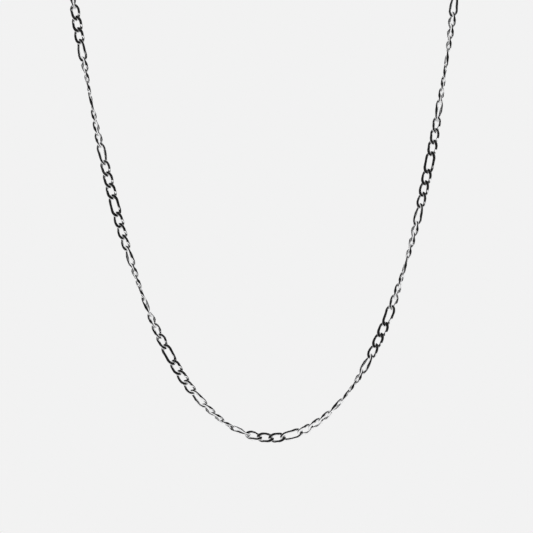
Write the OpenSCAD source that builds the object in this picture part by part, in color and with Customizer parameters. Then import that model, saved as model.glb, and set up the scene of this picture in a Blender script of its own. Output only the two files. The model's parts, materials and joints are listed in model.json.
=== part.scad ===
// Figaro chain: a fine necklace of three short links and one long link in turn,
// closed at the nape by a plain clasp between two rings.
// It hangs as it does when worn. The origin is the middle of the neck hollow, level
// with the top of the front stretch, +Z is up and the wearer faces -Y.
// Every wire passes through its neighbour and stays clear of it.

/* [Links] */
// Outer width of a link seen face on
link_w = 3.05; // [2.9:0.05:3.4]
// Width of the links' wire seen face on
wire_d = 0.8; // [0.7:0.01:0.82]
// Thickness of the chain between its two pressed faces
face_t = 0.95; // [0.9:0.01:1.1]
// Length of chain that a short link adds
short_pitch = 3.35; // [3.25:0.01:3.8]
// Length of chain that a long link adds
long_pitch = 5.1; // [4.8:0.01:6.2]
// Free play between two wires that hook each other
link_play = 0.15; // [0.14:0.01:0.2]
// Free play between two wires where one passes over the other
lap_play = 0.15; // [0.14:0.01:0.18]
// Fullness of a link's outline, where 2 is an ellipse
outline_power = 2.4; // [2.2:0.05:2.7]

/* [Chain] */
// Short links between two long ones
short_run = 3; // [1:1:5]
// Links on each side of the lowest point
side_links = 72; // [68:1:76]
// Radius of the bend at the lowest point
bend_r = 20.6; // [19.5:0.1:23]
// How far right of the lowest point the middle link hangs
middle_offset = 1.2; // [0:0.1:3]
// Length of chain on each side that hangs in the front plane
front_arc = 145; // [130:1:150]
// Lean of the hanging loop, anticlockwise from the front
hang_lean = 1.1; // [0:0.05:2]

/* [Neck] */
// Height of the nape above the top of the front stretch
nape_rise = 35; // [30:1:45]
// How far a strand runs on before it turns back over the shoulder
shoulder_reach = 45; // [40:1:55]
// Half width of the flat run across the nape
nape_reach = 57; // [50:1:64]

/* [Clasp] */
// Length of the clasp from end to end
clasp_l = 11; // [10:0.5:14]
// Width of the clasp's head
clasp_w = 5; // [4.4:0.1:5.6]
// Thickness of the clasp's body
clasp_t = 1.6; // [1.4:0.1:1.8]
// Thickness of the eye that the clasp hangs from
eye_t = 0.8; // [0.7:0.05:0.9]
// Width of metal round the clasp's eye
eye_wall = 0.6; // [0.5:0.05:0.7]
// Width of metal round the clasp's head
head_wall = 1; // [0.8:0.05:1.2]
// Wire of the two rings
ring_wire = 0.6; // [0.5:0.05:0.65]
// Outer diameter of the ring that the clasp hangs from
clasp_ring_d = 3.6; // [3.5:0.1:4]
// Outer diameter of the ring that the clasp hooks into
end_ring_d = 5; // [4.8:0.1:5.6]
// Free play of a ring in a link or in the clasp's eye
ring_play = 0.36; // [0.34:0.01:0.4]
// Free play of the end ring in the clasp's head
head_play = 0.45; // [0.42:0.01:0.55]

/* [Hidden] */
$fn = 48;

// A link is a closed loop of pressed wire. Its rings stand at these angles round it: end,
// shoulder, side, and their mirror images.
END = 18;
SHOULDER = 60;
ANGLES = [
    END, SHOULDER, 90, 180 - SHOULDER, 180 - END,
    180 + END, 180 + SHOULDER, 270, -SHOULDER, -END,
];
RINGS = len(ANGLES);
// Corners of the wire's section: out from the link's middle as shares of half the wire's
// width, and towards its face as shares of half its thickness
SECTION = [[-0.9, 0.7], [-0.9, -0.7], [0.3, -1], [1, 0], [0.3, 1]];
SIDES = len(SECTION);
// Angle to each side over which the wire's direction is taken
SPREAD = 25;

// The clasp's body, as shares of its eye's radius: where it starts, and its half width there
BODY_START = 0.8;
BODY_HALF_W = 0.75;
// The nib's radius as a share of the head's wall, and how far back and out it sits as
// shares of the head's radius
NIB_SIZE = 0.7;
NIB_BACK = 0.5;
NIB_OUT = 0.95;
// Room round the ring's wire in the clasp's eye, as a share of the ring's play
EYE_ROOM = 1.2;

// Points along each half of the way round the neck
STEPS = 90;
// Length over which a strand's direction is taken
REACH = 0.5;
// Least and most depth of the worn loop, and how often the span between them is halved
DEPTHS = [20, 220];
HALVINGS = 24;

// The chain's twist as it hangs: place as a share of front_arc from the lowest point,
// and quarter turns about the chain. Face on at even turns, edge on at odd ones.
TWIST = [
    [-1.03, -1], [-0.955, 0], [-0.84, 0.88], [-0.80, 1], [-0.60, 2], [-0.44, 2.78],
    [-0.405, 3], [-0.25, 4], [-0.10, 4.83], [-0.02, 5.78], [0.01, 6], [0.12, 6.68],
    [0.19, 7], [0.32, 8], [0.45, 9], [0.67, 10], [0.75, 10.48], [0.86, 11],
    [1.08, 12], [1.32, 13],
];

half_w = (link_w - wire_d) / 2;
hook = wire_d + link_play;
// Distance between two wires that hook: link in ring, eye in ring, head in ring
link_ring_hook = (wire_d + ring_wire) / 2 + ring_play;
eye_ring_hook = (eye_wall + ring_wire) / 2 + ring_play;
head_ring_hook = (head_wall + ring_wire) / 2 + head_play;

function is_long(i) = (i - 1) % (short_run + 1) == 0;
function link_pitch(i) = is_long(i) ? long_pitch : short_pitch;

function unit(v) = v / norm(v);

// One link, in its own frame: along the chain, across it, out of its face

function rounded(value) = sign(value) * pow(abs(value), 2 / outline_power);

// Half length of the outline whose flat end is hooked
function half_len(pitch) = (pitch + hook) / 2 / rounded(cos(END));

function outline(pitch, angle) = [half_len(pitch) * rounded(cos(angle)), half_w * rounded(sin(angle))];

// Where two links cross, one is pressed into the upper half of the chain's thickness and
// the other into the lower half: 1 for over, -1 for under, 0 along a link's sides
function lap(angle) = -sign(cos(angle) * sin(angle));
function wire_top(angle) = lap(angle) < 0 ? -lap_play / 2 : face_t / 2;
function wire_bottom(angle) = lap(angle) > 0 ? lap_play / 2 : -face_t / 2;

function link_ring(pitch, angle) =
    let (
        middle = outline(pitch, angle),
        along = unit(outline(pitch, angle + SPREAD) - outline(pitch, angle - SPREAD)),
        outward = [along[1], -along[0]],
        half_t = (wire_top(angle) - wire_bottom(angle)) / 2,
        level = (wire_top(angle) + wire_bottom(angle)) / 2
    )
    [for (s = SECTION) concat(middle + s[0] * wire_d / 2 * outward, level + s[1] * half_t)];

function link_points(pitch) = [for (angle = ANGLES) each link_ring(pitch, angle)];

function link_faces(first) = [
    for (k = [0:RINGS - 1], j = [0:SIDES - 1])
        let (
            a = first + k * SIDES + j,
            b = first + k * SIDES + (j + 1) % SIDES,
            c = first + (k + 1) % RINGS * SIDES + (j + 1) % SIDES,
            d = first + (k + 1) % RINGS * SIDES + j
        )
        each [[a, b, c], [a, c, d]]
];

// The route: a catenary in front, then a curve round the neck

clasp_pitch = clasp_l - (eye_wall + head_wall) / 2 - (eye_ring_hook + head_ring_hook) / 2;
clasp_ring_pitch = clasp_ring_d - ring_wire - (link_ring_hook + eye_ring_hook) / 2;
end_ring_pitch = end_ring_d - ring_wire - (link_ring_hook + head_ring_hook) / 2;

function total(list) = list * [for (value = list) 1];
function running(list, start = 0) =
    [for (i = 0, at = start; i <= len(list); at = at + (i < len(list) ? list[i] : 0), i = i + 1) at];

right_pitches = [for (i = [1:side_links]) link_pitch(i)];
left_pitches = [for (i = [1:side_links - 1]) link_pitch(-i)];
fitting_pitches = [clasp_ring_pitch, clasp_pitch, end_ring_pitch];
chain_len = total(right_pitches) + total(left_pitches) + link_pitch(0);
loop_len = chain_len + total(fitting_pitches);
hidden_len = loop_len - 2 * front_arc;

function asinh(value) = ln(value + sqrt(value * value + 1));
front_h = sqrt(bend_r * bend_r + front_arc * front_arc) - bend_r;

// A point of the front stretch at arc length s from its lowest point, s > 0 on the right
function front_point(s, depth) =
    let (across = bend_r * asinh(s / bend_r), up = sqrt(bend_r * bend_r + s * s) - bend_r - front_h)
    [
        across * cos(hang_lean) - up * sin(hang_lean),
        -depth / 2,
        across * sin(hang_lean) + up * cos(hang_lean),
    ];

function strand_end(side, depth) =
    let (top = front_point(side * front_arc, depth))
    [top, unit(top - front_point(side * (front_arc - REACH), depth))];

function bezier(p, t) =
    pow(1 - t, 3) * p[0] + 3 * pow(1 - t, 2) * t * p[1] + 3 * (1 - t) * t * t * p[2] + t * t * t * p[3];

// The way round the neck for a given depth, from the right strand to the left one
function neck_points(depth) =
    let (
        nape = [0, depth / 2, nape_rise],
        right = strand_end(1, depth),
        left = strand_end(-1, depth),
        over_right = [right[0], right[0] + shoulder_reach * right[1], nape + [nape_reach, 0, 0], nape],
        over_left = [nape, nape - [nape_reach, 0, 0], left[0] + shoulder_reach * left[1], left[0]]
    )
    [
        for (i = [0:STEPS]) bezier(over_right, i / STEPS),
        for (i = [1:STEPS]) bezier(over_left, i / STEPS),
    ];

function steps_of(points) = [for (i = [1:len(points) - 1]) norm(points[i] - points[i - 1])];

// The depth at which the way round the neck takes up the hidden chain exactly
function fitted_depth(low, high, tries) =
    tries == 0 ? (low + high) / 2 :
    let (middle = (low + high) / 2)
    total(steps_of(neck_points(middle))) < hidden_len
        ? fitted_depth(middle, high, tries - 1)
        : fitted_depth(low, middle, tries - 1);

neck_depth = fitted_depth(DEPTHS[0], DEPTHS[1], HALVINGS);
neck_path = neck_points(neck_depth);
neck_at = running(steps_of(neck_path));
neck_axes = [for (axis = [0:2]) [for (i = [0:len(neck_path) - 1]) [neck_at[i], neck_path[i][axis]]]];

function route(s) =
    abs(s) <= front_arc ? front_point(s, neck_depth) :
    let (beyond = s > 0 ? s - front_arc : s + front_arc + hidden_len)
    [for (axis = neck_axes) lookup(beyond, axis)];

// Frames of the pieces: each spans the chord between two hooking points

function twist_at(s) = 90 * lookup(s / front_arc, TWIST);
function carried(n, along) = unit(n - (n * along) * along);

// For each piece: its first point, its direction, and the untwisted face direction
function frames(at) =
    let (
        points = [for (s = at) route(s)],
        alongs = [for (i = [1:len(points) - 1]) unit(points[i] - points[i - 1])]
    )
    [
        for (
            i = 0, n = carried([0, -1, 0], alongs[0]);
            i < len(alongs);
            n = i + 1 < len(alongs) ? carried(n, alongs[i + 1]) : n, i = i + 1
        )
            [points[i], points[i + 1], alongs[i], n, (at[i] + at[i + 1]) / 2]
    ];

first_at = middle_offset + link_pitch(0) / 2;
right_at = running(concat(right_pitches, fitting_pitches), first_at);
left_at = running([for (p = concat([link_pitch(0)], left_pitches)) -p], first_at);
right_frames = frames(right_at);
left_frames = frames(left_at);

// Axes of a piece, as rows: along the chain from left to right, across, out of its face
function axes(frame, side) =
    let (
        u = side * frame[2],
        turn = twist_at(frame[4]),
        w = frame[3] * cos(turn) + cross(u, frame[3]) * sin(turn)
    )
    [u, cross(w, u), w];

function placed(points, origin, rows) = [for (p = points) origin + p * rows];

module chain(frames, pitches, side) {
    points = [
        for (i = [0:len(pitches) - 1])
            let (frame = frames[i])
            each placed(link_points(pitches[i]), (frame[0] + frame[1]) / 2, axes(frame, side))
    ];
    faces = [for (i = [0:len(pitches) - 1]) each link_faces(i * RINGS * SIDES)];
    polyhedron(points = points, faces = faces);
}

// Puts a fitting on the chain with its first hook at the origin and the chain along +X
module on_chain(frame, first_hook) {
    rows = axes(frame, 1);
    at = frame[0] - first_hook / 2 * rows[0];
    multmatrix([for (i = [0:2]) [rows[0][i], rows[1][i], rows[2][i], at[i]]]) children();
}

// The pieces

module left_chain() {
    color("silver") chain(left_frames, concat([link_pitch(0)], left_pitches), -1);
}

module right_chain() {
    color("silver") chain(right_frames, right_pitches, 1);
}

module wire_ring(outer_d) {
    ring_r = (outer_d - ring_wire) / 2;
    translate([ring_r, 0, 0]) rotate([90, 0, 0])
        rotate_extrude() translate([ring_r, 0]) circle(d = ring_wire);
}

module clasp_ring() {
    color("silver") on_chain(right_frames[side_links], link_ring_hook) wire_ring(clasp_ring_d);
}

// Eye, body and head are one closed piece, and a nib on its edge is its trigger
module clasp() {
    eye_hole_r = ring_wire / 2 + EYE_ROOM * ring_play;
    eye_r = eye_wall + eye_hole_r;
    head_r = clasp_w / 2;
    eye_x = eye_r - eye_wall / 2;
    head_x = clasp_l - eye_wall / 2 - head_r;
    shoulder_x = eye_x + eye_r * BODY_START;
    neck_w = eye_r * BODY_HALF_W;
    nib_at = [head_x - head_r * NIB_BACK, -head_r * NIB_OUT, -clasp_t / 2];
    color("silver") on_chain(right_frames[side_links + 1], eye_ring_hook) difference() {
        union() {
            translate([eye_x, 0, -eye_t / 2]) cylinder(r = eye_r, h = eye_t);
            translate([0, 0, -clasp_t / 2]) linear_extrude(clasp_t)
                polygon([
                    [shoulder_x, -neck_w], [head_x, -head_r], [head_x, head_r], [shoulder_x, neck_w],
                ]);
            translate([head_x, 0, -clasp_t / 2]) cylinder(r = head_r, h = clasp_t);
            translate(nib_at) cylinder(r = head_wall * NIB_SIZE, h = clasp_t);
        }
        translate([eye_x, 0, -clasp_t]) cylinder(r = eye_hole_r, h = 2 * clasp_t);
        translate([head_x, 0, -clasp_t]) cylinder(r = head_r - head_wall, h = 2 * clasp_t);
    }
}

module end_ring() {
    color("silver") on_chain(right_frames[side_links + 2], head_ring_hook) wire_ring(end_ring_d);
}

left_chain();
right_chain();
clasp_ring();
clasp();
end_ring();
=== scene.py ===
"""Figaro chain necklace: the looks of its links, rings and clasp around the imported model.

Every size is in metres and every place is in the model's own frame. A link is found again in the
packed chain by its own corners, and a finely made link of the same size takes its place.
"""

import json
import logging
import math
from dataclasses import dataclass, field
from enum import Enum

import bmesh
import bpy
import numpy as np
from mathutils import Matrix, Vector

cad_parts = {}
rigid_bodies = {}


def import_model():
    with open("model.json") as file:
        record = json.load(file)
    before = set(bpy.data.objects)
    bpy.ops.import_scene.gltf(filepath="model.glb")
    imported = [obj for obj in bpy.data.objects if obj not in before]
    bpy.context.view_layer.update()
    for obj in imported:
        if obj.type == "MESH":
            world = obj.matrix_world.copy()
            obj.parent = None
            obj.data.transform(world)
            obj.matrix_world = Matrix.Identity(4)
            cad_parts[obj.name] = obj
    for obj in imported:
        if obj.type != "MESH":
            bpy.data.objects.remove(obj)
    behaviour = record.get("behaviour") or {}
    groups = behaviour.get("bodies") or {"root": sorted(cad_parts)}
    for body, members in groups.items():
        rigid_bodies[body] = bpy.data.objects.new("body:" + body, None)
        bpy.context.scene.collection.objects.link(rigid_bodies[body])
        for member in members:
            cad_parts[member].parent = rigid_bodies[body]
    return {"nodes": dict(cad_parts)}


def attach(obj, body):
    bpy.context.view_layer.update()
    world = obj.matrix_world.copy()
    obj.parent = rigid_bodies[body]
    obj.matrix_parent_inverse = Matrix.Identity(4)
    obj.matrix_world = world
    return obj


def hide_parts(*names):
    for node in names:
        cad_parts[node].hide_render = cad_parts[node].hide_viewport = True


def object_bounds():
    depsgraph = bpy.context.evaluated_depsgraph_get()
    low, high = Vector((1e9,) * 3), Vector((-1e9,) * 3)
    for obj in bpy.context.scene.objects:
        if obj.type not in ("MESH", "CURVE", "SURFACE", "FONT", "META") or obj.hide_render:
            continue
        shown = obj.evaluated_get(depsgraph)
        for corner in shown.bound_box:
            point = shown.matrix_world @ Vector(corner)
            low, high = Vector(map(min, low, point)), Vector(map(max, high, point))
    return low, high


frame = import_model()

MM = 0.001
BODY = "root"
log = logging.getLogger("figaro_chain")


def corners_of(bounds: tuple) -> list[list[float]]:
    """The lowest and highest corner of a box as plain lists of numbers."""
    return [[float(value) for value in corner] for corner in bounds]


cad_box = corners_of(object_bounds())


def noise(
    tree: bpy.types.NodeTree, place: bpy.types.NodeSocket, scale: float, detail: float
) -> bpy.types.NodeSocket:
    """Adds a noise pattern to a node tree.

    Args:
        tree: The tree.
        place: Where the pattern reads its place.
        scale: Lumps of the pattern for each unit of the place.
        detail: Times that the pattern repeats at half the size.

    Returns:
        The pattern's value.
    """
    node = tree.nodes.new("ShaderNodeTexNoise")
    node.inputs["Scale"].default_value = scale
    node.inputs["Detail"].default_value = detail
    tree.links.new(place, node.inputs["Vector"])
    return node.outputs["Fac"]


def raised(
    tree: bpy.types.NodeTree, height: bpy.types.NodeSocket, lift: tuple[float, float]
) -> bpy.types.Node:
    """Adds a bump that raises the surface by a height.

    Args:
        tree: The tree.
        height: The height, from 0 to 1.
        lift: The bump's strength, and how far a height of 1 stands out.

    Returns:
        The bump.
    """
    strength, distance = lift
    node = tree.nodes.new("ShaderNodeBump")
    node.inputs["Strength"].default_value = strength
    node.inputs["Distance"].default_value = distance
    tree.links.new(height, node.inputs["Height"])
    return node


def ramp(
    tree: bpy.types.NodeTree,
    value: bpy.types.NodeSocket,
    span: tuple[float, float],
    ends: tuple[float, float],
    kind: str = "LINEAR",
) -> bpy.types.NodeSocket:
    """Adds a ramp between two values, held at both ends.

    Args:
        tree: The tree.
        value: What the ramp runs over.
        span: Where the ramp begins and ends.
        ends: Its value before it begins and after it ends.
        kind: Shape of the ramp in between.

    Returns:
        The ramp's value.
    """
    node = tree.nodes.new("ShaderNodeMapRange")
    node.interpolation_type = kind
    node.inputs["From Min"].default_value = span[0]
    node.inputs["From Max"].default_value = span[1]
    node.inputs["To Min"].default_value = ends[0]
    node.inputs["To Max"].default_value = ends[1]
    tree.links.new(value, node.inputs["Value"])
    return node.outputs["Result"]


class LinkKind(Enum):
    """The two links of a figaro chain, each with the length of chain that it adds."""

    SHORT = 3.35 * MM
    LONG = 5.1 * MM


class Grain(Enum):
    """What the hairlines of a polished piece follow: the map along its wire, or the model's axes."""

    WIRE = "UV"
    FACES = "Object"


@dataclass(frozen=True)
class Silver:
    """Polished silver: bright metal with fine hairlines and soft dents, plus a grey from a per-corner mask:
    painted shade in the crooks of the links and grime beside the rings' solder.

    Attributes:
        name: The material's name.
        grain: What the hairlines follow.
        colour: Linear colour of clean metal.
        shade_and_grime: Linear grey where the mask is full: painted shade in the crooks of the links, grime
            beside the rings' solder.
        polish: Roughness of the cleanest metal.
        wear: Roughness that handling adds in patches.
        patch: Width of those patches.
        patch_span: Values of their pattern at which the wear begins and is full.
        patch_detail: Detail of their pattern.
        hairline: Spacing of the hairlines.
        length: Length of the hairlines for their spacing.
        line_detail: Detail of the hairlines.
        line_lift: Strength and height of the hairlines.
        wire_size: Length and girth of the wire that the map of a link or ring covers.
        dent: Width of the soft dents that tumbling leaves.
        dent_detail: Detail of the dents.
        dent_lift: Strength and depth of the dents.
    """

    name: str
    grain: Grain = Grain.WIRE
    colour: tuple[float, float, float, float] = (0.90, 0.90, 0.905, 1.0)
    shade_and_grime: tuple[float, float, float, float] = (0.42, 0.41, 0.40, 1.0)
    polish: float = 0.10
    wear: float = 0.20
    patch: float = 2.0 * MM
    patch_span: tuple[float, float] = (0.35, 0.75)
    patch_detail: float = 4.0
    hairline: float = 0.03 * MM
    length: float = 7.0
    line_detail: float = 2.0
    line_lift: tuple[float, float] = (0.5, 0.004 * MM)
    wire_size: tuple[float, float] = (14.0 * MM, 3.0 * MM)
    dent: float = 0.5 * MM
    dent_detail: float = 1.0
    dent_lift: tuple[float, float] = (0.6, 0.04 * MM)

    def material(self) -> bpy.types.Material:
        """Builds the node tree.

        The colour goes from clean metal to grey by the surface's own "hollow" value, which is painted shade
        in the crooks of the links and grime beside the rings' solder. Roughness is the polish plus patches
        of wear. Height is soft dents plus hairlines, which a noise stretched along the wire or along the
        model's width gives.

        Returns:
            The finished material.
        """
        made = bpy.data.materials.new(self.name)
        made.use_nodes = True
        tree = made.node_tree
        nodes, link = tree.nodes, tree.links.new
        nodes.clear()
        out = nodes.new("ShaderNodeOutputMaterial")
        shader = nodes.new("ShaderNodeBsdfPrincipled")
        shader.inputs["Metallic"].default_value = 1.0
        link(shader.outputs["BSDF"], out.inputs["Surface"])

        place = nodes.new("ShaderNodeTexCoord")
        # grey mask: painted shade in the links' crooks, grime beside the rings' solder
        hollow = nodes.new("ShaderNodeAttribute")
        hollow.attribute_name = "hollow"
        tone = nodes.new("ShaderNodeMix")
        tone.data_type = "RGBA"
        tone.inputs["A"].default_value = self.colour
        tone.inputs["B"].default_value = self.shade_and_grime
        link(hollow.outputs["Fac"], tone.inputs["Factor"])
        link(tone.outputs["Result"], shader.inputs["Base Color"])

        patches = noise(tree, place.outputs["Object"], 1.0 / self.patch, self.patch_detail)
        rough = ramp(tree, patches, self.patch_span, (self.polish, self.polish + self.wear))
        link(rough, shader.inputs["Roughness"])

        dents = noise(tree, place.outputs["Object"], 1.0 / self.dent, self.dent_detail)
        stretch = nodes.new("ShaderNodeMapping")
        along, across = (1.0, 1.0) if self.grain is Grain.FACES else self.wire_size
        finest = 1.0 / self.hairline
        stretch.inputs["Scale"].default_value = (along * finest / self.length, across * finest, finest)
        link(place.outputs[self.grain.value], stretch.inputs["Vector"])
        lines = noise(tree, stretch.outputs["Vector"], 1.0, self.line_detail)

        fine = raised(tree, lines, self.line_lift)
        link(raised(tree, dents, self.dent_lift).outputs["Normal"], fine.inputs["Normal"])
        link(fine.outputs["Normal"], shader.inputs["Normal"])
        return made


@dataclass(frozen=True)
class Paper:
    """Matt pale paper for the studio floor, with a faint tooth.

    Attributes:
        name: The material's name.
        colour: Linear colour.
        sheen: How much it shines.
        glow: Light that it gives off, as a share of its colour, since the room lights it from one side.
        tooth: Width of the paper's tooth.
        tooth_detail: Detail of the tooth.
        tooth_lift: Strength and height of the tooth.
    """

    name: str = "studio_paper"
    colour: tuple[float, float, float, float] = (0.83, 0.83, 0.83, 1.0)
    sheen: float = 0.1
    glow: float = 0.45
    tooth: float = 1.111 * MM
    tooth_detail: float = 2.0
    tooth_lift: tuple[float, float] = (0.05, 0.1 * MM)

    def material(self) -> bpy.types.Material:
        """Builds the node tree: one colour, full roughness and a low noise for the paper's tooth.

        Returns:
            The finished material.
        """
        made = bpy.data.materials.new(self.name)
        made.use_nodes = True
        tree = made.node_tree
        shader = tree.nodes["Principled BSDF"]
        shader.inputs["Base Color"].default_value = self.colour
        shader.inputs["Roughness"].default_value = 1.0
        shader.inputs["Specular IOR Level"].default_value = self.sheen
        shader.inputs["Emission Color"].default_value = self.colour
        shader.inputs["Emission Strength"].default_value = self.glow
        place = tree.nodes.new("ShaderNodeTexCoord")
        tooth = noise(tree, place.outputs["Object"], 1.0 / self.tooth, self.tooth_detail)
        tree.links.new(raised(tree, tooth, self.tooth_lift).outputs["Normal"], shader.inputs["Normal"])
        return made


@dataclass(frozen=True)
class Welded:
    """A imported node's mesh with its loose triangles joined at their corners.

    Attributes:
        points: One row a corner.
        triangles: Three corner numbers a row.
    """

    points: np.ndarray
    triangles: np.ndarray

    @classmethod
    def from_node(cls, node: str, grain: float = 1e-7) -> "Welded":
        """Reads a node and joins corners that fall on the same grain.

        Args:
            node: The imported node's name.
            grain: Distance under which two corners are one.

        Returns:
            The joined mesh. The node itself stays as it is.
        """
        mesh = frame["nodes"][node].data
        mesh.calc_loop_triangles()
        points = np.empty(3 * len(mesh.vertices))
        mesh.vertices.foreach_get("co", points)
        triangles = np.empty(3 * len(mesh.loop_triangles), dtype=np.int32)
        mesh.loop_triangles.foreach_get("vertices", triangles)
        cells = np.round(points.reshape(-1, 3) / grain).astype(np.int64)
        _, first, index = np.unique(cells, axis=0, return_index=True, return_inverse=True)
        return cls(points.reshape(-1, 3)[first], index.ravel()[triangles].reshape(-1, 3))

    def solids(self) -> list[np.ndarray]:
        """Groups the corners by the solid that they belong to.

        Each corner takes the lowest number among its triangles until nothing changes, so every
        solid ends with one number of its own.

        Returns:
            The corners of each solid, one array a solid.
        """
        label = np.arange(len(self.points))
        while True:
            lowest = label.copy()
            np.minimum.at(lowest, self.triangles.ravel(), np.repeat(label[self.triangles].min(axis=1), 3))
            lowest = lowest[lowest]
            if np.array_equal(lowest, label):
                break
            label = lowest
        return [self.points[label == number] for number in np.unique(label)]


@dataclass(frozen=True)
class Place:
    """Where a solid lies: its middle, its own three axes and its extents along them.

    Attributes:
        middle: Middle of the solid.
        axes: Rows: its longest, its second and its thinnest direction, right-handed.
        size: Extent along each axis.
    """

    middle: np.ndarray
    axes: np.ndarray
    size: np.ndarray

    @classmethod
    def of(cls, points: np.ndarray) -> "Place":
        """Finds the axes as the directions in which the corners spread most and least.

        A link looks the same after half a turn about any of its axes, so only their handedness
        matters, and the second axis is set from the other two.

        Args:
            points: Corners of one solid, one row each.

        Returns:
            The solid's place.
        """
        middle = points.mean(axis=0)
        _, directions = np.linalg.eigh(np.cov((points - middle).T))
        longest, thinnest = directions[:, 2], directions[:, 0]
        axes = np.array([longest, np.cross(thinnest, longest), thinnest])
        local = (points - middle) @ axes.T
        return cls(middle, axes, np.ptp(local, axis=0))

    def put(self, points: np.ndarray) -> np.ndarray:
        """Moves points from the solid's own axes into the model's frame."""
        return self.middle + points @ self.axes


def tube_faces(rings: int, sides: int) -> np.ndarray:
    """Quads of a closed tube, a closed path of rings with sides corners each.

    Args:
        rings: Rings along the path.
        sides: Corners round each ring.

    Returns:
        Four corner numbers a row, turned so that the faces point outwards.
    """
    ring, side = np.meshgrid(np.arange(rings), np.arange(sides), indexing="ij")
    after, beside = (ring + 1) % rings, (side + 1) % sides
    quads = [ring * sides + side, after * sides + side, after * sides + beside, ring * sides + beside]
    return np.stack(quads, axis=-1).reshape(-1, 4)


def tube_map(rings: int, sides: int) -> np.ndarray:
    """Map of a closed tube for each quad corner: share of the way along, then share of the way round.

    Args:
        rings: Rings along the path.
        sides: Corners round each ring.

    Returns:
        Two numbers a quad corner, in the order of tube_faces.
    """
    ring, side = np.meshgrid(np.arange(rings), np.arange(sides), indexing="ij")
    along = np.stack([ring, ring + 1, ring + 1, ring], axis=-1) / rings
    around = np.stack([side, side, side + 1, side + 1], axis=-1) / sides
    return np.stack([along, around], axis=-1).reshape(-1, 2)


@dataclass(frozen=True)
class Piece:
    """A mesh on its way into the scene.

    Attributes:
        points: One row a corner.
        faces: Four corner numbers a row.
        wrap: Two map numbers a face corner.
        hollow: For each corner, from 0 on clean metal to 1 where the grey is full: painted shade in a link's
            crook, grime beside a ring's solder.
    """

    points: np.ndarray
    faces: np.ndarray
    wrap: np.ndarray
    hollow: np.ndarray

    def into_scene(self, name: str, node: str, slot: str, material: bpy.types.Material) -> bpy.types.Object:
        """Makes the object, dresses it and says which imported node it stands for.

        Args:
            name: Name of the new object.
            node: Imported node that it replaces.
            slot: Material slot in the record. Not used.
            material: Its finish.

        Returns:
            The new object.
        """
        mesh = bpy.data.meshes.new(name)
        mesh.from_pydata(self.points.tolist(), [], self.faces.tolist())
        mesh.uv_layers.new(name="wrap").data.foreach_set("uv", self.wrap.ravel())
        # per-corner grey: painted shade in the links' crooks, grime beside the rings' solder
        shade_and_grime_layer = mesh.attributes.new("hollow", "FLOAT", "POINT")
        shade_and_grime_layer.data.foreach_set("value", self.hollow.ravel())
        mesh.shade_smooth()
        mesh.materials.append(material)
        mesh.validate()
        made = bpy.data.objects.new(name, mesh)
        bpy.context.scene.collection.objects.link(made)
        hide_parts(node)
        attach(made, BODY)
        log.info("%s: %d faces, stands for %s", name, len(self.faces), node)
        return made


def joined(parts: list[Piece]) -> Piece:
    """Joins pieces of one kind into one, each part's corner numbers after those before it."""
    starts = np.cumsum([0] + [len(part.points) for part in parts[:-1]])
    return Piece(
        np.concatenate([part.points for part in parts]),
        np.concatenate([part.faces + start for part, start in zip(parts, starts)]),
        np.concatenate([part.wrap for part in parts]),
        np.concatenate([part.hollow for part in parts]),
    )


def eased(share: np.ndarray) -> np.ndarray:
    """Goes from 0 to 1 as the share does, flat at both ends: three of its squares less two of its cubes."""
    held = np.clip(share, 0.0, 1.0)
    return held**2 * (3 - 2 * held)


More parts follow.
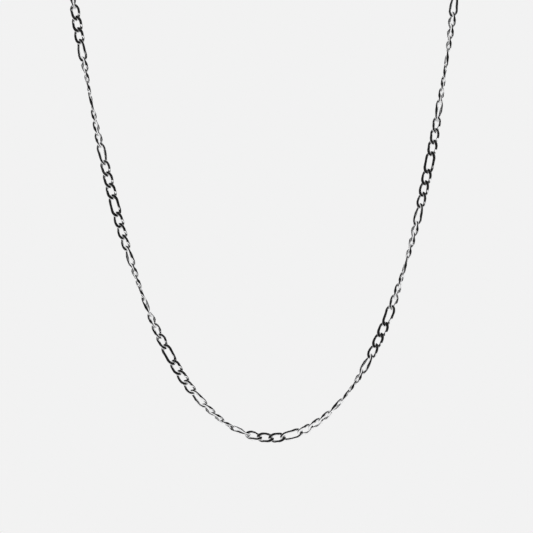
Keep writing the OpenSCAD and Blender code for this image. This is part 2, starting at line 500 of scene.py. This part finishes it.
@dataclass
class Link:
    """One link: a twisted loop of wire pressed flat, half as thick where the next link crosses it.

    Attributes:
        kind: Short or long.
        width: Outer width.
        wire: Width of the wire seen face on.
        pressed: Thickness of the chain between its pressed faces.
        play: Free play between two wires that hook or cross each other.
        fullness: Power of the outline's round ends, where 2 is an ellipse.
        end: Length of each round end, beyond which the sides are straight.
        bow: Wire in one side of a round end, for that length.
        outside: Power of the wire's outer side, where 2 is round and more is squarer.
        inside: Power of the wire's inner side.
        reach: How far from the crossing, towards the link's middle, the wire is fully thinned.
        turn: Distance from the middle line over which the tip goes from one face to the other.
        crook: Share of the half length at which the painted shade inside the ends begins.
        faintest_shade: Painted shade of the most lightly shaded link, as a share of the darkest one's.
        rings: Rings along the wire.
        sides: Corners round the wire.
    """

    kind: LinkKind
    width: float = 3.05 * MM
    wire: float = 0.86 * MM
    pressed: float = 0.95 * MM
    play: float = 0.06 * MM
    fullness: float = 1.8
    end: float = 1.75 * MM
    bow: float = 1.2
    outside: float = 3.0
    inside: float = 3.0
    reach: float = 0.5 * MM
    turn: float = 0.35 * MM
    crook: float = 0.7
    faintest_shade: float = 0.7
    rings: int = 56
    sides: int = 14

    def _outline(self, angle: np.ndarray) -> np.ndarray:
        """Middle line of the wire seen face on: two straight sides and two round ends.

        Each end is half a superellipse, where the distance along and the distance across, as shares
        of the end's length and of the half width, are the cosine and the sine to the power of two
        over the fullness. The angle is shared between ends and sides as their lengths are.

        Args:
            angle: Angles round the link.

        Returns:
            One row an angle, along and across.
        """
        half_length = (self.kind.value + self.wire + self.play) / 2
        half_width = (self.width - self.wire) / 2
        straight = half_length - self.end
        share = straight / (straight + self.bow * self.end)
        quarter = math.pi / 2
        from_tip = quarter - np.abs(np.mod(angle, math.pi) - quarter)
        arc = np.minimum(from_tip / (1 - share), quarter)
        side = np.clip(1 - (quarter - from_tip) / (quarter * share), 0, 1)
        along = self.end * np.cos(arc) ** (2 / self.fullness) + straight * (1 - side)
        across = half_width * np.sin(arc) ** (2 / self.fullness)
        return np.stack([np.sign(np.cos(angle)) * along, np.sign(np.sin(angle)) * across], axis=-1)

    def _dip(self, middle: np.ndarray) -> np.ndarray:
        """How deep the wire is cut back where the next link crosses it.

        The full depth is half the chain's thickness and half the play. It eases in along the side,
        from the link's middle to the crossing, so that the wire goes slantwise from one pressed face
        to the other. It eases out across the tip, where the wire changes faces again.

        Args:
            middle: Middle line, along and across.

        Returns:
            The depth for each ring.
        """
        along, across = np.abs(middle).T
        near_end = eased(along / (self.kind.value / 2 - self.reach))
        return near_end * eased(across / self.turn) * (self.pressed + self.play) / 2

    def piece(self, place: Place, seed: int) -> Piece:
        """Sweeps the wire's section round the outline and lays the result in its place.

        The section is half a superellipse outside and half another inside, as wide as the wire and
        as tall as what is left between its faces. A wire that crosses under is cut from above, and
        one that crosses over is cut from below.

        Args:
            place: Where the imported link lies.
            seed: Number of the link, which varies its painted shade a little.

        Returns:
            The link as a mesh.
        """
        angle = np.arange(self.rings) * 2 * math.pi / self.rings
        middle = self._outline(angle)
        path = self._outline(angle + angle[1] / 2) - self._outline(angle - angle[1] / 2)
        path /= np.linalg.norm(path, axis=1, keepdims=True)
        outward = np.stack([path[:, 1], -path[:, 0]], axis=1)

        dip = self._dip(middle)
        under = middle.prod(axis=1) > 0
        top = self.pressed / 2 - np.where(under, dip, 0.0)
        bottom = np.where(under, 0.0, dip) - self.pressed / 2

        around = (np.arange(self.sides) + 0.5) * 2 * math.pi / self.sides
        cosine, sine = np.cos(around), np.sin(around)
        power = 2 / np.where(cosine > 0, self.outside, self.inside)
        out = self.wire / 2 * np.sign(cosine) * np.abs(cosine) ** power
        up = np.sign(sine) * np.abs(sine) ** power
        flat = middle[:, None] + out[:, None] * outward[:, None]
        height = (top + bottom)[:, None] / 2 + (top - bottom)[:, None] / 2 * up
        surface = np.concatenate([flat, height[..., None]], axis=-1)
        return Piece(
            place.put(surface.reshape(-1, 3)),
            tube_faces(self.rings, self.sides),
            tube_map(self.rings, self.sides),
            self._hollow(middle, out, np.random.default_rng(seed).uniform(self.faintest_shade, 1.0)),
        )

    def _hollow(self, middle: np.ndarray, out: np.ndarray, amount: float) -> np.ndarray:
        """How much painted shade each corner gets in the crook of the link's two ends, where the next link
        crosses.

        Args:
            middle: Middle line of the wire.
            out: How far each of the section's corners is out from the wire's middle.
            amount: Share of the full painted shade.

        Returns:
            From 0 to the amount, one value a corner.
        """
        end = np.abs(middle[:, 0]) / np.abs(middle[:, 0]).max()
        # painted shade: grey on the inner side of the wire near both ends, where the next link crosses
        crook = eased((end - self.crook) / (1 - self.crook))[:, None] * np.clip(-out / (self.wire / 2), 0, 1)
        return (amount * crook).ravel()


@dataclass
class Chain:
    """A stretch of the chain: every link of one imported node, made anew in its place.

    Attributes:
        node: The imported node.
        finish: The links' finish.
        links: The two kinds of link.
    """

    node: str
    finish: bpy.types.Material
    links: dict[LinkKind, Link] = field(default_factory=lambda: {kind: Link(kind) for kind in LinkKind})

    def build(self) -> bpy.types.Object:
        """Finds each packed link and puts a fine one of its kind in its place.

        Returns:
            The stretch as one object.
        """
        places = [Place.of(points) for points in Welded.from_node(self.node).solids()]
        lengths = [place.size[0] for place in places]
        middle_length = (min(lengths) + max(lengths)) / 2
        parts = []
        for number, place in enumerate(places):
            kind = LinkKind.LONG if place.size[0] > middle_length else LinkKind.SHORT
            parts.append(self.links[kind].piece(place, number))
        return joined(parts).into_scene(f"{self.node}_links", self.node, "chain_silver", self.finish)


@dataclass
class WireRing:
    """A jump ring: round wire bent into a circle, its two ends soldered with a slight bead.

    Attributes:
        node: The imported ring, which gives the place and the size.
        finish: The ring's finish.
        rings: Steps round the ring.
        sides: Steps round its wire.
        bead: How far the solder stands out, as a share of the wire's radius.
        bead_span: Angle round the ring at which the bead has nearly gone.
        grime: Tarnish beside the bead.
        grime_at: Where it is deepest, in spans of the bead.
        grime_fall: How fast it falls off from there.
    """

    node: str
    finish: bpy.types.Material
    rings: int = 96
    sides: int = 20
    bead: float = 0.10
    bead_span: float = math.radians(7)
    grime: float = 0.7
    grime_at: float = 1.6
    grime_fall: float = 2.0

    def build(self) -> bpy.types.Object:
        """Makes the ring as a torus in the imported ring's place.

        The wire's middle runs on a circle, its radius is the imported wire's, and near angle nought it
        grows by the bead times a bell curve of the angle. Tarnish lies on both sides of the bead, by
        a bell curve of the angle from where it is deepest.

        Returns:
            The ring.
        """
        place = Place.of(Welded.from_node(self.node).points)
        outer, wire = place.size[:2].mean() / 2, place.size[2] / 2
        turn = np.arange(self.rings) * 2 * math.pi / self.rings - math.pi
        around = np.arange(self.sides) * 2 * math.pi / self.sides
        share = turn / self.bead_span
        radius = wire * (1 + self.bead * np.exp(-(share**2)))
        across = (outer - wire) + radius[:, None] * np.cos(around)
        surface = np.stack(
            [
                across * np.cos(turn)[:, None],
                across * np.sin(turn)[:, None],
                radius[:, None] * np.sin(around),
            ],
            axis=-1,
        )
        beside = self.grime * np.exp(-self.grime_fall * (np.abs(share) - self.grime_at) ** 2)
        return Piece(
            place.put(surface.reshape(-1, 3)),
            tube_faces(self.rings, self.sides),
            tube_map(self.rings, self.sides),
            np.repeat(beside, self.sides),
        ).into_scene(f"{self.node}_wire", self.node, "fitting_silver", self.finish)


@dataclass
class Clasp:
    """The clasp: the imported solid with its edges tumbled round.

    Attributes:
        node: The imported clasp.
        finish: The clasp's finish.
        edge: How far the rounding of an edge reaches.
        steps: Steps across a rounded edge.
        sharp: Least angle between two faces whose edge is rounded.
        level: Least angle between two faces that aren't merged.
        sliver: Edges shorter than this are closed up before the rounding.
    """

    node: str
    finish: bpy.types.Material
    edge: float = 0.08 * MM
    steps: int = 4
    sharp: float = math.radians(30)
    level: float = math.radians(1)
    sliver: float = 0.02 * MM

    def build(self) -> bpy.types.Object:
        """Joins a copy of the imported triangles, merges them into flat faces and rounds the edges.

        Returns:
            The clasp.
        """
        welded = Welded.from_node(self.node)
        mesh = bpy.data.meshes.new("clasp_body")
        mesh.from_pydata(welded.points.tolist(), [], welded.triangles.tolist())
        flat = bmesh.new()
        flat.from_mesh(mesh)
        bmesh.ops.remove_doubles(flat, verts=flat.verts, dist=self.sliver)
        bmesh.ops.dissolve_degenerate(flat, edges=flat.edges, dist=self.sliver)
        bmesh.ops.dissolve_limit(flat, angle_limit=self.level, verts=flat.verts, edges=flat.edges)
        flat.to_mesh(mesh)
        flat.free()
        mesh.shade_smooth()
        mesh.materials.append(self.finish)
        made = bpy.data.objects.new("clasp_body", mesh)
        bpy.context.scene.collection.objects.link(made)
        rounding = made.modifiers.new("tumbled", "BEVEL")
        rounding.width = self.edge
        rounding.segments = self.steps
        rounding.limit_method = "ANGLE"
        rounding.angle_limit = self.sharp
        rounding.harden_normals = True
        rounding.use_clamp_overlap = False
        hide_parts(self.node)
        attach(made, BODY)
        log.info("clasp_body: %d faces before rounding, stands for %s", len(mesh.polygons), self.node)
        return made


@dataclass
class Studio:
    """A pale room: soft white light from behind, from the sides and from below, and a dark camera side.

    Attributes:
        backdrop: Linear grey that the camera sees behind the chain.
        bright: Strength of the white surroundings.
        dark: Strength of the dark camera side.
        dark_from: Share towards the camera at which the dark side begins, below 0 behind the chain.
        dark_full: Share towards the camera at which it is fully dark.
        low_from: Share downwards at which the dark side gives way to the bright room below.
        low_full: Share downwards at which it has given way.
        floor_r: Radius of the floor.
        floor_z: Height of the floor.
        floor_sides: Corners round the floor's edge.
        distance: Way from the camera to the front stretch.
        depth: Way from the foremost point of the model to the middle of the front stretch.
        centre: The frame's middle on the front stretch: its place across and its height.
        view_w: Width of the frame on the front stretch.
    """

    backdrop: float = 0.888
    bright: float = 1.25
    dark: float = 0.02
    dark_from: float = -0.2
    dark_full: float = -0.05
    low_from: float = 0.55
    low_full: float = 0.65
    floor_r: float = 0.6
    floor_z: float = -0.25
    floor_sides: int = 96
    distance: float = 0.7
    depth: float = 1.5 * MM
    centre: tuple[float, float] = (0.605 * MM, -76.75 * MM)
    view_w: float = 152.4 * MM

    def build(self) -> None:
        """Makes the surroundings, the floor and the camera."""
        self._world()
        self._floor()
        self._camera()
        bpy.context.scene.view_settings.view_transform = "Standard"

    def _world(self) -> None:
        """Surroundings: one grey for the camera, and for light and reflections white with a dark front.

        The strength is the greater of two ramps. One goes from dark to bright with the share away
        from the camera, and the other from bright to dark with the share upwards.
        """
        world = bpy.data.worlds.new("studio")
        bpy.context.scene.world = world
        world.use_nodes = True
        tree = world.node_tree
        nodes, link = tree.nodes, tree.links.new
        nodes.clear()
        place = nodes.new("ShaderNodeTexCoord")
        split = nodes.new("ShaderNodeSeparateXYZ")
        link(place.outputs["Generated"], split.inputs["Vector"])
        away = (-self.dark_full, -self.dark_from)
        upwards = (-self.low_full, -self.low_from)
        front = ramp(tree, split.outputs["Y"], away, (self.dark, self.bright), "SMOOTHSTEP")
        below = ramp(tree, split.outputs["Z"], upwards, (self.bright, self.dark), "SMOOTHSTEP")
        brighter = nodes.new("ShaderNodeMath")
        brighter.operation = "MAXIMUM"
        link(front, brighter.inputs[0])
        link(below, brighter.inputs[1])
        glow = nodes.new("ShaderNodeBackground")
        link(brighter.outputs["Value"], glow.inputs["Strength"])
        seen = nodes.new("ShaderNodeBackground")
        seen.inputs["Color"].default_value = (self.backdrop, self.backdrop, self.backdrop, 1.0)
        path = nodes.new("ShaderNodeLightPath")
        choose = nodes.new("ShaderNodeMixShader")
        link(path.outputs["Is Camera Ray"], choose.inputs["Fac"])
        link(glow.outputs["Background"], choose.inputs[1])
        link(seen.outputs["Background"], choose.inputs[2])
        out = nodes.new("ShaderNodeOutputWorld")
        link(choose.outputs["Shader"], out.inputs["Surface"])

    def _floor(self) -> None:
        """Floor: a flat disc whose corners are at the radius times the cosine and sine of their angle."""
        turns = np.arange(self.floor_sides) * 2 * math.pi / self.floor_sides
        across, away = self.floor_r * np.cos(turns), self.floor_r * np.sin(turns)
        rim = np.stack([across, away, np.full(self.floor_sides, self.floor_z)], axis=1)
        mesh = bpy.data.meshes.new("floor")
        mesh.from_pydata(rim.tolist(), [], [list(range(self.floor_sides))])
        mesh.materials.append(Paper().material())
        floor = bpy.data.objects.new("floor", mesh)
        floor.visible_glossy = False
        bpy.context.scene.collection.objects.link(floor)

    def _camera(self) -> None:
        """Camera: level, straight on, with a long lens that frames the front stretch as photographed."""
        data = bpy.data.cameras.new("camera")
        data.lens = data.sensor_width * self.distance / self.view_w
        camera = bpy.data.objects.new("camera", data)
        front = cad_box[0][1] + self.depth
        camera.location = (self.centre[0], front - self.distance, self.centre[1])
        camera.rotation_euler = (math.pi / 2, 0.0, 0.0)
        bpy.context.scene.collection.objects.link(camera)
        bpy.context.scene.camera = camera


def main() -> None:
    """Builds the pieces in order, then the studio."""
    logging.basicConfig(level=logging.INFO, format="%(name)s: %(message)s")
    silver = Silver("link_silver").material()
    for node in ("left_chain", "right_chain"):
        Chain(node, silver).build()
    drawn = Silver("ring_silver").material()
    for node in ("clasp_ring", "end_ring"):
        WireRing(node, drawn).build()
    Clasp("clasp", Silver("clasp_silver", Grain.FACES).material()).build()
    Studio().build()


if __name__ == "__main__":
    main()
